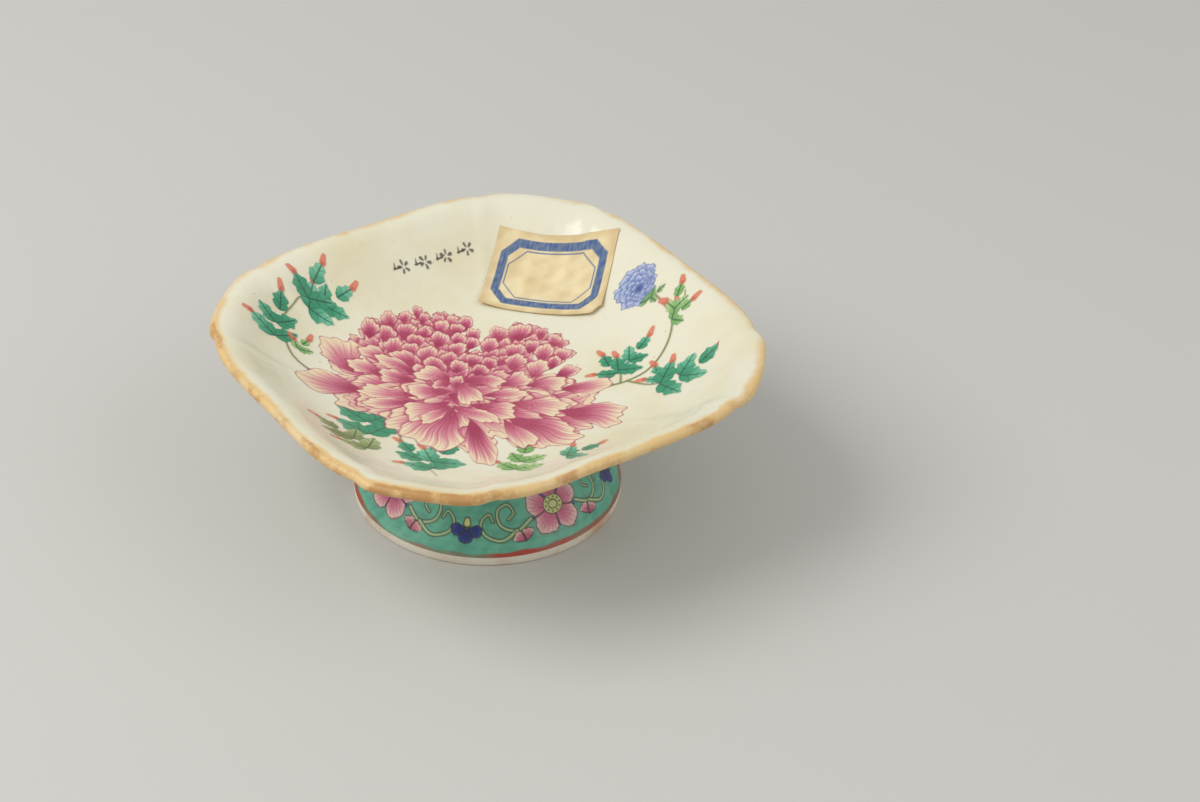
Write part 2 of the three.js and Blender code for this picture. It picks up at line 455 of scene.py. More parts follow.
@dataclass
class Leaf:
    """A leaf with rounded lobes in pairs along a bent midrib, and one at its end."""

    base: Point
    heading: float
    length: float
    tones: tuple[Colour, Colour]
    seed: int
    pairs: int = 2
    bend: float = 12.0
    red_tips: bool = True
    tip_bend: float = 0.3
    tip_length: float = 2.4

    WIDTH = 0.33
    SCALLOPS = 16.0
    RIBS = 3.4
    FIRST_PAIR = 0.10
    PAIR_PITCH = 0.36

    def lobe(self, canvas: Canvas, base: Point, heading: float, length: float, phase: float) -> None:
        """Lays one lobe: its half-width is a sine of the way along it, scalloped near its end.

        Args:
            canvas: Where it goes.
            base: Where it starts, on the midrib.
            heading: Its direction in degrees.
            length: Its length.
            phase: Shifts its scallops and its shading.
        """
        where = canvas.window(base, length * 1.3 + 2.0)
        du = canvas.u[where] - base[0]
        dv = canvas.v[where] - base[1]
        turned = math.radians(heading)
        along = (du * math.cos(turned) + dv * math.sin(turned)) / length
        across = -du * math.sin(turned) + dv * math.cos(turned)
        held = np.clip(along, 0.0, 1.0)
        scallop = 1.0 + 0.20 * np.sin(self.SCALLOPS * held + phase) * smooth(held, 0.25, 0.5)
        half = length * self.WIDTH * np.sin(math.pi * held**0.72) ** 0.8 * scallop
        inside = np.where((along > 0.0) & (along < 1.0), half - np.abs(across), -1.0)
        mask = smooth(inside, -0.14, 0.16)
        light = smooth(held + 0.35 * across / length + 0.25 * math.sin(phase), 0.15, 1.05)
        canvas.lay(where, mask, blend(*self.tones, light))
        canvas.lay(where, 0.75 * mask * smooth(-np.abs(across), -0.34, -0.10) * (along < 0.9), VEIN)
        rib = np.abs(np.mod(along * self.RIBS - np.abs(across) / (0.42 * length) + 0.5, 1.0) - 0.5)
        canvas.lay(where, 0.42 * mask * smooth(-rib, -0.10, -0.03) * (np.abs(across) < 0.75 * half), VEIN)
        rim = smooth(inside, -0.1, 0.03) * smooth(-inside, -0.30, -0.10)
        canvas.lay(where, 0.30 * rim * (along > 0.05), VEIN)

    def red_tip(self, canvas: Canvas, tip: Point, heading: float) -> None:
        """Lays the red bud-like tip at the end of a lobe."""
        way = math.radians(heading)
        bent = way + self.tip_bend
        far = (tip[0] + self.tip_length * math.cos(bent), tip[1] + self.tip_length * math.sin(bent))
        canvas.stroke([tip, far], (2.3, 1.5), BUD_RED, 0.8)
        canvas.stroke([far, tip], (1.0, 0.5), BUD_PALE, 0.6)
        canvas.stroke([tip, (tip[0] + 0.4 * math.cos(way), tip[1])], (0.5, 0.3), CRIMSON, 0.5)

    def paint(self, canvas: Canvas) -> None:
        """Lays the pairs of side lobes from the stalk outwards, the end lobe, and the red tips."""
        rng = np.random.default_rng(self.seed)
        for pair in range(self.pairs + 1):
            share = self.FIRST_PAIR + self.PAIR_PITCH * pair
            turned = self.heading + self.bend * share
            spot = polar(self.base, turned, share * self.length)
            sides = (-1, 1) if pair < self.pairs else (0,)
            for side in sides:
                size = self.length * (0.56 - 0.05 * pair) * rng.uniform(0.88, 1.1)
                heading = turned + side * (56.0 - 10.0 * pair) + rng.uniform(-8.0, 8.0)
                self.lobe(canvas, spot, heading, size, rng.uniform(0.0, 6.0))
                if self.red_tips and (side == 0 or (pair == 0 and side == 1)):
                    self.red_tip(canvas, polar(spot, heading, size), heading)


@dataclass(frozen=True)
class Zone:
    """How filling petals are laid in one part of the peony, in millimetres and degrees.

    Width, length and swing change from ring to ring by narrowing, shortening and loosening. Margin
    keeps the filling inside the placed petals.
    """

    gap: float
    width: float
    length: float
    narrowing: float = 1.0
    shortening: float = 1.9
    margin: float = 7.0
    swing: float = 17.0
    loosening: float = 2.0
    depth: Point = (0.42, 0.74)
    rounding: float = 0.28
    frill: float = 0.04
    loose: bool = True


class Peony:
    """The open peony: filling petals in rings, under petals that are placed one by one."""

    CENTRE = (-9.0, -8.0)
    HEART = (-10.0, -3.0)
    RINGS = 9
    LEAST_REACH = 5.0
    SKIP = 9.0
    LAST_ANGLE = 356.0
    TURNED_SHARE = 0.45
    WASH_MARGIN = 13.0
    CROWN_SPAN = (44.0, 153.0)
    LOWER_SPAN = (205.0, 335.0)
    SIDE = Zone(8.0, 13.5, 22.0)
    LOWER = Zone(9.5, 14.5, 27.0)
    CROWN = Zone(4.5, 6.8, 9.0, 0.0, 0.0, 0.0, 15.0, 0.0, (0.60, 0.82), 0.42, 0.05, loose=False)
    # Angle in degrees and reach in millimetres from the centre, anticlockwise
    SILHOUETTE = (
        (0, 57), (20, 50), (38, 46), (55, 50), (66, 52), (79, 49), (90, 28), (100, 47), (112, 51),
        (129, 52), (146, 50), (156, 50), (166, 53), (182, 50), (195, 48), (204, 42), (224, 34),
        (246, 34), (264, 31), (285, 35), (299, 41), (318, 33), (333, 45), (353, 56), (360, 57),
    )
    # Placed petals from the back to the front: base, tip and width, in millimetres
    PLACED = (
        (-33, 33, -34, 39, 4), (-31, 31, -31, 37, 4), (-26, 31, -26, 38, 5), (-21, 32, -21, 39, 6),
        (-16, 32, -17, 40, 7), (-3, 29, -4, 38, 8), (4, 31, 3, 41, 9), (11, 33, 11, 40, 5),
        (16, 30, 16, 37, 6), (-37, 29, -37, 35, 5), (-40, 25, -43, 32, 7), (-25, 28, -24, 36, 6),
        (-18, 29, -19, 36, 6), (-12, 28, -13, 35, 6), (9, 25, 9, 33, 6), (20, 22, 21, 30, 7),
        (-5, 23, -6, 31, 8), (14, 21, 14, 31, 9), (3, 21, 4, 30, 8), (-35, 21, -35, 30, 8),
        (-29, 24, -29, 31, 6), (-17, 24, -17, 31, 7), (-12, 23, -11, 30, 6), (-23, 21, -23, 30, 8),
        (-46, 17, -48, 26, 8), (-41, 17, -41, 26, 7), (-30, 18, -31, 26, 7), (-17, 18, -15, 26, 8),
        (18, 17, 19, 25, 6), (21, 13, 27, 20, 8), (5, 14, 6, 24, 9), (13, 11, 14, 22, 9),
        (-9, 13, -9, 21, 7), (-3, 12, -3, 20, 7), (-36, 11, -38, 21, 9), (-31, 13, -32, 21, 7),
        (-24, 12, -26, 21, 9), (-17, 12, -18, 20, 7), (-46, -3, -58, 11, 17), (-40, -12, -61, -15, 17),
        (-36, 7, -47, 13, 8), (-28, 8, -36, 15, 9), (23, 6, 41, 11, 11), (26, -6, 49, -9, 16),
        (10, -13, 35, -25, 20), (9, -15, 22, -30, 11), (-12, -16, -26, -31, 13), (-2, -17, 10, -44, 15),
        (-9, -12, -14, -38, 24), (-26, 5, -41, 10, 9), (-36, 0, -49, 3, 9), (-25, 0, -38, 1, 9),
        (-22, -8, -42, -11, 10), (-22, -12, -38, -18, 10), (12, 6, 25, 11, 9), (9, -5, 28, -4, 12),
        (3, 4, 12, 12, 9), (-20, 8, -24, 15, 9), (-13, 8, -14, 16, 8), (-6, 8, -5, 15, 8),
        (-1, -3, 13, 2, 9), (-14, 4, -26, 7, 10), (-8, 5, 4, 7, 8), (-4, -9, 12, -11, 11),
        (-10, -11, 7, -17, 9), (-12, -3, -26, -6, 10), (-11, -9, -23, -21, 12), (-10, -11, -17, -23, 8),
        (-12, 3, -2, -7, 10), (-13, 2, -19, -1, 6),
    )
    SMALL = 11.0

    def reach(self, angle: Array | float) -> Array:
        """Reach of the flower at an angle in degrees."""
        table = np.asarray(self.SILHOUETTE, float)
        return np.interp(np.mod(angle, 360.0), table[:, 0], table[:, 1])

    def underpaint(self, canvas: Canvas) -> None:
        """Lays a thin pink wash inside the silhouette, under the petals."""
        u, v = canvas.u - self.CENTRE[0], canvas.v - self.CENTRE[1]
        inside = self.reach(np.degrees(np.arctan2(v, u))) - self.WASH_MARGIN - np.hypot(u, v)
        canvas.lay(WHOLE, smooth(inside, 0.0, 2.0), WASH)

    def zone(self, angle: float) -> Zone:
        """The zone at an angle in degrees."""
        if self.CROWN_SPAN[0] < angle < self.CROWN_SPAN[1]:
            return self.CROWN
        return self.LOWER if self.LOWER_SPAN[0] < angle < self.LOWER_SPAN[1] else self.SIDE

    def filling(self) -> list[Petal]:
        """The filling petals from the outermost ring inwards, each ring tucked under the next."""
        rng = np.random.default_rng(41)
        made = []
        for ring in range(self.RINGS):
            share = ring / (self.RINGS - 1.0)
            middle = [a + share * (b - a) for a, b in zip(self.CENTRE, self.HEART)]
            start = rng.uniform(0.0, 20.0)
            angle = start
            while angle < start + self.LAST_ANGLE:
                place = angle % 360.0
                zone = self.zone(place)
                reach = float(self.reach(place)) - zone.gap * ring - zone.margin
                if reach < self.LEAST_REACH:
                    angle += self.SKIP
                    continue
                width = (rng.uniform(0.8, 1.2) if zone.loose else 1.0) * (zone.width - zone.narrowing * ring)
                length = (zone.length - zone.shortening * ring) * rng.uniform(0.82, 1.2)
                length = min(length, reach + 3.0)
                out = reach * rng.uniform(0.96, 1.03) - length
                swing = zone.swing + zone.loosening * ring
                heading = place + rng.uniform(-swing, swing)
                warm = rng.uniform(0.0, 1.0)
                petal = Petal(
                    polar(middle, place, out),
                    heading,
                    length,
                    math.degrees(width * 0.64 / length),
                    seed=1000 * ring + int(angle * 7),
                    tones=replace(PEONY_TONES, deep=(170 + 14 * warm, 54 + 20 * warm, 92 + 12 * warm)),
                    depth=rng.uniform(*zone.depth),
                    rounding=zone.rounding,
                    frill=zone.frill,
                    shade=0.7,
                    turned=bool(zone.loose and rng.uniform() < self.TURNED_SHARE),
                )
                made.append(petal)
                angle += math.degrees(width * 0.74 / max(reach, 8.0)) * rng.uniform(0.8, 1.15)
        return made

    def placed(self) -> list[Petal]:
        """The petals that are placed one by one."""
        rng = np.random.default_rng(77)
        made = []
        for number, (u, v, far_u, far_v, width) in enumerate(self.PLACED):
            length = math.hypot(far_u - u, far_v - v)
            small = length < self.SMALL
            narrow = width < 0.62 * length
            warm = rng.uniform(0.0, 1.0)
            petal = Petal(
                (u, v),
                math.degrees(math.atan2(far_v - v, far_u - u)),
                length,
                math.degrees(width * 0.66 / length),
                seed=7000 + number,
                tones=replace(
                    PEONY_TONES,
                    deep=(166 + 16 * warm, 50 + 22 * warm, 88 + 14 * warm),
                    tip=(242, 226, 186),
                ),
                depth=rng.uniform(0.60, 0.76) if small else rng.uniform(0.44, 0.66),
                rounding=0.38 if small else 0.26 + 0.3 * narrow,
                shade=0.6,
                outline=0.3 if small else 0.42,
            )
            made.append(petal)
        return made

    def paint(self, canvas: Canvas) -> None:
        """Lays the wash, the filling petals and the placed ones."""
        self.underpaint(canvas)
        for petal in self.filling() + self.placed():
            petal.paint(canvas)


class Spray:
    """The stems, leaves, small blue flower and ink blossoms round the peony."""

    GREEN = ((52, 148, 108), (124, 200, 164))
    LIGHT = ((122, 178, 92), (190, 216, 150))
    OLIVE = ((124, 146, 84), (178, 190, 128))
    ASTER = (41.0, 53.5)
    ASTER_RINGS = (7.4, 5.9, 4.4, 2.9)
    BLOSSOM = (-42.0, 50.5)
    BLOSSOM_PITCH = (6.4, 5.5)
    # Points of each stem, its width at both ends, and how fully it covers
    STEMS = (
        ([(-58, -11), (-66, -7), (-71, 0), (-74, 9), (-72, 18), (-69, 25)], (0.9, 0.5), 0.85),
        ([(-73, 8), (-76, 5), (-78, 6)], (0.7, 0.5), 0.85),
        ([(36, 8), (46, 12), (53, 18), (57, 28), (57, 37), (53, 43), (48, 49)], (1.0, 0.6), 0.85),
        ([(46, 12), (54, 9), (60, 9)], (0.9, 0.6), 0.85),
        ([(44, 11), (43, 17), (42, 22)], (0.8, 0.5), 0.85),
        ([(57, 36), (60, 41), (60, 45)], (0.7, 0.4), 0.85),
        ([(-22, -34), (-20, -38), (-15, -41)], (0.8, 0.5), 0.8),
        ([(-10, -50), (-6, -55), (-3, -59)], (0.7, 0.3), 0.6),
    )

    def leaves(self) -> list[Leaf]:
        """The leaves, in painter's order."""
        return [
            Leaf((-69, 17), 42, 17.0, self.GREEN, 1),
            Leaf((-69, 20), 82, 17.0, self.GREEN, 2, pairs=1),
            Leaf((-73, -4), 112, 18.0, self.GREEN, 3, bend=-14.0),
            Leaf((-66, -3), 75, 9.0, self.LIGHT, 5, pairs=1),
            Leaf((42, 15), 118, 14.0, self.GREEN, 6, pairs=1),
            Leaf((41, 17), 52, 15.0, self.GREEN, 7),
            Leaf((58, 10), 108, 10.0, self.GREEN, 8, pairs=1),
            Leaf((56, 8), 16, 19.0, self.GREEN, 9),
            Leaf((56, 36), 30, 10.0, self.LIGHT, 11, pairs=1),
            Leaf((57, 39), 80, 10.0, self.LIGHT, 12, pairs=1),
            Leaf((-30, -41), 118, 24.0, self.GREEN, 13, bend=-16.0),
            Leaf((-27, -52), 142, 18.0, self.OLIVE, 15),
            Leaf((-5, -55), 122, 19.0, self.GREEN, 16),
            Leaf((-8, -50), 68, 19.0, self.GREEN, 17, pairs=1),
            Leaf((20, -50), 78, 18.0, self.LIGHT, 18),
            Leaf((34, -39), 32, 16.0, self.GREEN, 20, pairs=1),
            Leaf((47, 46), 120, 8.0, self.LIGHT, 21, pairs=1, red_tips=False),
            Leaf((47, 47), 20, 6.0, self.LIGHT, 22, pairs=1, red_tips=False),
        ]

    def small_flower(self, canvas: Canvas) -> None:
        """Lays the blue many-petalled flower beside the label."""
        rng = np.random.default_rng(12)
        style = {"tones": ASTER_TONES, "depth": 0.5, "shade": 0.35, "rounding": 0.4}
        for ring, length in enumerate(self.ASTER_RINGS):
            base = (self.ASTER[0] + 0.5 * ring, self.ASTER[1] - 0.4 * ring)
            for angle in range(0, 360, 30 + 6 * ring):
                heading = angle + rng.uniform(-6.0, 6.0) + 7.0 * ring
                Petal(base, heading, length, 27.0, 50 + angle + ring, **style).paint(canvas)

    def ink(self, canvas: Canvas) -> None:
        """Lays a slanting row of small ink blossoms, each a ring of dots on a stalk."""
        for blossom in range(4):
            u, v = (start + pitch * blossom for start, pitch in zip(self.BLOSSOM, self.BLOSSOM_PITCH))
            for dot in range(5):
                angle = 72.0 * dot + 25.0 * blossom
                ends = [polar((u, v), angle, 0.9), polar((u, v), angle, 1.8)]
                canvas.stroke(ends, (0.6, 0.9 + 0.25 * math.sin(3.0 * dot + blossom)), INK, 0.75)
            canvas.stroke([(u - 2.9, v - 2.7), (u - 1.2, v - 1.0)], (0.4, 0.6), INK, 0.85)
            canvas.stroke([(u - 2.6, v - 2.4), (u - 3.3, v - 0.9)], (0.7, 0.25), INK, 0.8)

    def paint(self, canvas: Canvas) -> None:
        """Lays stems, leaves, the small flower and the ink blossoms."""
        for points, width, force in self.STEMS:
            canvas.stroke(points, width, STEM, force)
        for leaf in self.leaves():
            leaf.paint(canvas)
        self.small_flower(canvas)
        self.ink(canvas)


class Value:
    """A shader socket with arithmetic: an expression adds the Math nodes that it needs."""

    def __init__(self, tree: bpy.types.NodeTree, socket: bpy.types.NodeSocket) -> None:
        """Wraps a socket of a tree."""
        self.tree = tree
        self.socket = socket

    def _join(self, operation: str, first: object, second: object) -> "Value":
        """Adds a Math node on two values or numbers."""
        node = self.tree.nodes.new("ShaderNodeMath")
        node.operation = operation
        for place, item in enumerate((first, second)):
            if isinstance(item, Value):
                self.tree.links.new(item.socket, node.inputs[place])
            else:
                node.inputs[place].default_value = float(item)
        return Value(self.tree, node.outputs[0])

    def __add__(self, other: object) -> "Value":
        """Sum."""
        return self._join("ADD", self, other)

    __radd__ = __add__

    def __sub__(self, other: object) -> "Value":
        """Difference."""
        return self._join("SUBTRACT", self, other)

    def __mul__(self, other: object) -> "Value":
        """Product."""
        return self._join("MULTIPLY", self, other)

    def between(self, low: float, high: float) -> "Value":
        """Share from 0 at low to 1 at high, clamped."""
        node = self.tree.nodes.new("ShaderNodeMapRange")
        node.interpolation_type = "SMOOTHSTEP"
        self.tree.links.new(self.socket, node.inputs["Value"])
        node.inputs["From Min"].default_value = low
        node.inputs["From Max"].default_value = high
        return Value(self.tree, node.outputs["Result"])


class Shader:
    """Builds one material's nodes."""

    def __init__(self, name: str) -> None:
        """Starts a material with a Principled shader."""
        self.material = bpy.data.materials.new(name)
        self.material.use_nodes = True
        self.tree = self.material.node_tree
        self.surface = self.tree.nodes["Principled BSDF"]

    def node(self, kind: str, settings: dict, sockets: dict) -> bpy.types.Node:
        """Adds a node: its settings first, then a value or a link for each named socket."""
        node = self.tree.nodes.new(kind)
        for key, value in settings.items():
            setattr(node, key, value)
        for key, value in sockets.items():
            self.put(node.inputs[key], value)
        return node

    def put(self, socket: bpy.types.NodeSocket, value: object) -> None:
        """Sets a socket to a number, a colour or a link."""
        if isinstance(value, Value):
            self.tree.links.new(value.socket, socket)
        elif isinstance(value, bpy.types.NodeSocket):
            self.tree.links.new(value, socket)
        elif isinstance(value, tuple):
            socket.default_value = (*to_linear(value), 1.0)
        else:
            socket.default_value = value

    def noise(self, scale: float, detail: float = 3.0, rough: float = 0.55) -> Value:
        """Noise on object coordinates; scale is in waves to the metre."""
        place = self.node("ShaderNodeTexCoord", {}, {}).outputs["Object"]
        sockets = {"Vector": place, "Scale": scale, "Detail": detail, "Roughness": rough}
        return Value(self.tree, self.node("ShaderNodeTexNoise", {}, sockets).outputs["Fac"])

    def flag(self, name: str) -> Value:
        """A number stored on the piece's points."""
        node = self.node("ShaderNodeAttribute", {"attribute_name": name}, {})
        return Value(self.tree, node.outputs["Fac"])

    def paint(self, name: str) -> bpy.types.NodeSocket:
        """A colour stored on the piece's points."""
        return self.node("ShaderNodeAttribute", {"attribute_name": name}, {}).outputs["Color"]

    def mix(self, share: object, first: object, second: object) -> bpy.types.NodeSocket:
        """Mixes two colours."""
        node = self.tree.nodes.new("ShaderNodeMix")
        node.data_type = "RGBA"
        self.put(node.inputs[0], share)
        self.put(node.inputs[6], first)
        self.put(node.inputs[7], second)
        return node.outputs[2]

    def finish(self, body: object, roughness: object, height: Value, depth: float) -> bpy.types.Material:
        """Feeds the surface's colour, roughness and fine relief, and gives the material."""
        self.put(self.surface.inputs["Base Color"], body)
        self.put(self.surface.inputs["Roughness"], roughness)
        relief = {"Height": height, "Distance": depth, "Strength": 1.0}
        self.put(self.surface.inputs["Normal"], self.node("ShaderNodeBump", {}, relief).outputs[0])
        return self.material


@dataclass(frozen=True)
class GlazeFinish:
    """Old off-white glaze: faint warm clouds, painted shade that greys the outside and underside, iron
    specks, soft ripples and the dressed rim.
    """

    roughness: float = 0.2
    cloud_scale: float = 22.0
    speck_scale: float = 900.0

    def material(self) -> bpy.types.Material:
        """Builds the material from the point values rim and outside."""
        shader = Shader("old_glaze")
        clouds = shader.noise(self.cloud_scale, 5.0).between(0.42, 0.72)
        body = shader.mix(clouds * 0.75, GLAZE, GLAZE_WARM)
        # Painted shade: the outside and underside get a greyer copy of the glaze
        body = shader.mix(shader.flag("outside") * 0.8, body, GLAZE_UNDERSIDE_SHADE)
        specks = shader.noise(self.speck_scale, 2.0, 0.4).between(0.735, 0.79)
        body = shader.mix(specks * 0.55, body, IRON_SPOT)
        broken = shader.noise(95.0, 6.0, 0.65)
        rim = (shader.flag("rim") + (broken - 0.5) * 1.3).between(0.28, 0.95)
        heavy = (shader.flag("rim") + (shader.noise(85.0, 6.0, 0.65) - 0.5) * 2.2).between(0.85, 1.3)
        body = shader.mix(rim * 0.9, body, OCHRE)
        body = shader.mix(heavy * 0.7, body, OCHRE_DARK)
        height = shader.noise(70.0, 2.0) + shader.noise(420.0, 2.0) * 0.12 - rim * broken * 0.4
        return shader.finish(body, self.roughness + rim * 0.25, height, 0.0006)


@dataclass(frozen=True)
class EnamelFinish:
    """Painted enamel: its colours are stored on the points, with a fine uneven skin."""

    name: str
    roughness: float = 0.28
    mottle: float = 0.10

    def material(self) -> bpy.types.Material:
        """Builds the material from the point colour paint."""
        shader = Shader(self.name)
        mottle = shader.noise(260.0, 4.0).between(0.35, 0.75) * self.mottle
        body = shader.mix(mottle, shader.paint("paint"), ENAMEL_DUST)
        roughness = self.roughness + shader.noise(180.0) * 0.12
        return shader.finish(body, roughness, shader.noise(340.0, 3.0), 0.0002)


@dataclass(frozen=True)
class PlainFinish:
    """A matt body of one clay or paste with cloudy stains."""

    name: str
    colour: Colour
    stain: Colour
    roughness: float = 0.7

    def material(self) -> bpy.types.Material:
        """Builds the material."""
        shader = Shader(self.name)
        cloudy = shader.noise(60.0, 5.0).between(0.4, 0.75)
        body = shader.mix(cloudy, self.colour, self.stain)
        roughness = self.roughness + shader.noise(300.0) * 0.15
        return shader.finish(body, roughness, shader.noise(700.0, 4.0), 0.0002)


class Slot(Enum):
    """Names of material slots."""

    GLAZE = "glaze"
    SLIP = "slip"
    ENAMEL = "enamel"
    PASTE = "paste"
    PAPER = "paper"


def settle(piece: bpy.types.Object, slot: Slot, material: bpy.types.Material, *nodes: str) -> None:
    """Dresses a piece and ties it to the frame.

    Args:
        piece: The finished piece.
        slot: Its material slot; not used.
        material: Its material.
        nodes: The construction nodes that it stands for.
    """
    piece.data.materials.append(material)
    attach(piece, "root")
    if nodes:
        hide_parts(*nodes)
    LOG.info("%s: %d faces", piece.name, len(piece.data.polygons))


@dataclass
class Dish:
    """The dish: one closed body from its floor over the lip to its underside."""

    form: Form = Form()
    steps: int = 560
    neck_radius: float = NECK_RADIUS
    neck_inner: float = NECK_INNER
    neck_fillet: float = 5.0
    stub_height: float = 1.5
    rim_band: float = 3.3
    pole: float = 0.4
    floor_rings: int = 10
    wall_rings: int = 75
    lip_rings: int = 13
    lip_sweep: Point = (12.0, 168.0)
    fillet_rings: int = 10
    fillet_sweep: Point = (8.0, 90.0)
    closing_rings: int = 8

    def section(self) -> Array:
        """Section points as radius, height, nearness to the rim and share of the outside."""
        form = self.form
        radius, height = form.wall(self.wall_rings)
        floor = height[0]
        flat = np.linspace(self.pole, form.floor_radius, self.floor_rings)[:-1]
        inner = [(r, floor, 0.0, 0.0) for r in flat]
        turn = form.lip_thickness / 2.0
        edge = form.side_half_width - turn
        near = 1.0 - np.clip((edge - radius) / self.rim_band, 0.0, 1.0)
        inner += [(r, h, n, 0.0) for r, h, n in zip(radius, height, near)]
        lip = np.radians(np.linspace(*self.lip_sweep, self.lip_rings))
        top = form.total_height - turn
        inner += [(edge + turn * math.sin(a), top + turn * math.cos(a), 1.0, a / math.pi) for a in lip]
        thin = smooth(radius, edge - form.lip_width, edge)
        low = height - form.body_thickness - (form.lip_thickness - form.body_thickness) * thin
        keep = radius > self.neck_radius + self.neck_fillet
        under = [(r, h, 0.8 * n, 1.0) for r, h, n in zip(radius[keep], low[keep], near[keep])]
        under_floor = floor - form.body_thickness
        face = under_floor - self.stub_height
        for angle in np.radians(np.linspace(*self.fillet_sweep, self.fillet_rings)):
            r = self.neck_radius + self.neck_fillet * (1.0 - math.sin(angle))
            closing = (r, face + self.stub_height * math.cos(angle), 0.0, 1.0)
            under.insert(0, closing)
        under.insert(0, (self.neck_inner, face, 0.0, 1.0))
        for r in np.linspace(self.neck_inner, self.pole, self.closing_rings):
            under.insert(0, (r, under_floor, 0.0, 1.0))
        return np.array(inner + under[::-1])

    def build(self) -> bpy.types.Object:
        """Carries the section round the axis along the rim's outline, and closes both middles."""
        section = self.section()
        angle = np.linspace(0.0, FULL_TURN, self.steps, endpoint=False)
        radius = self.form.plan_radius(angle[None, :], section[:, :1])
        x = radius * np.cos(angle)
        y = radius * np.sin(angle)
        z = section[:, 1:2] + self.form.unevenness(x, y)
        points = np.stack([x, y, z], -1).reshape(-1, 3)
        faces = Mesher.band_faces(len(section), self.steps, closed=False)
        worn = 0.80 - 0.22 * np.cos(angle - DIAGONAL)
        worn = worn + 0.10 * np.sin(5.0 * angle + 1.0) + 0.06 * np.sin(13.0 * angle)
        flags = {
            "rim": (section[:, 2:3] * worn[None, :]).ravel(),
            # outside also sets where the glaze is painted greyer, as painted shade
            "outside": np.repeat(section[:, 3], self.steps),
        }
        piece = Mesher.piece("dish_body", points, faces, flags)
        close_ends(piece, len(section), self.steps)
        return piece


def close_ends(piece: bpy.types.Object, rows: int, steps: int) -> None:
    """Closes the first and last ring of a carried section with a face each."""
    work = bmesh.new()
    work.from_mesh(piece.data)
    work.verts.ensure_lookup_table()
    first = [work.verts[i] for i in range(steps)]
    last = [work.verts[(rows - 1) * steps + i] for i in range(steps)]
    work.faces.new(first)
    work.faces.new(last[::-1])
    for face in work.faces:
        face.smooth = True
    work.to_mesh(piece.data)
    work.free()


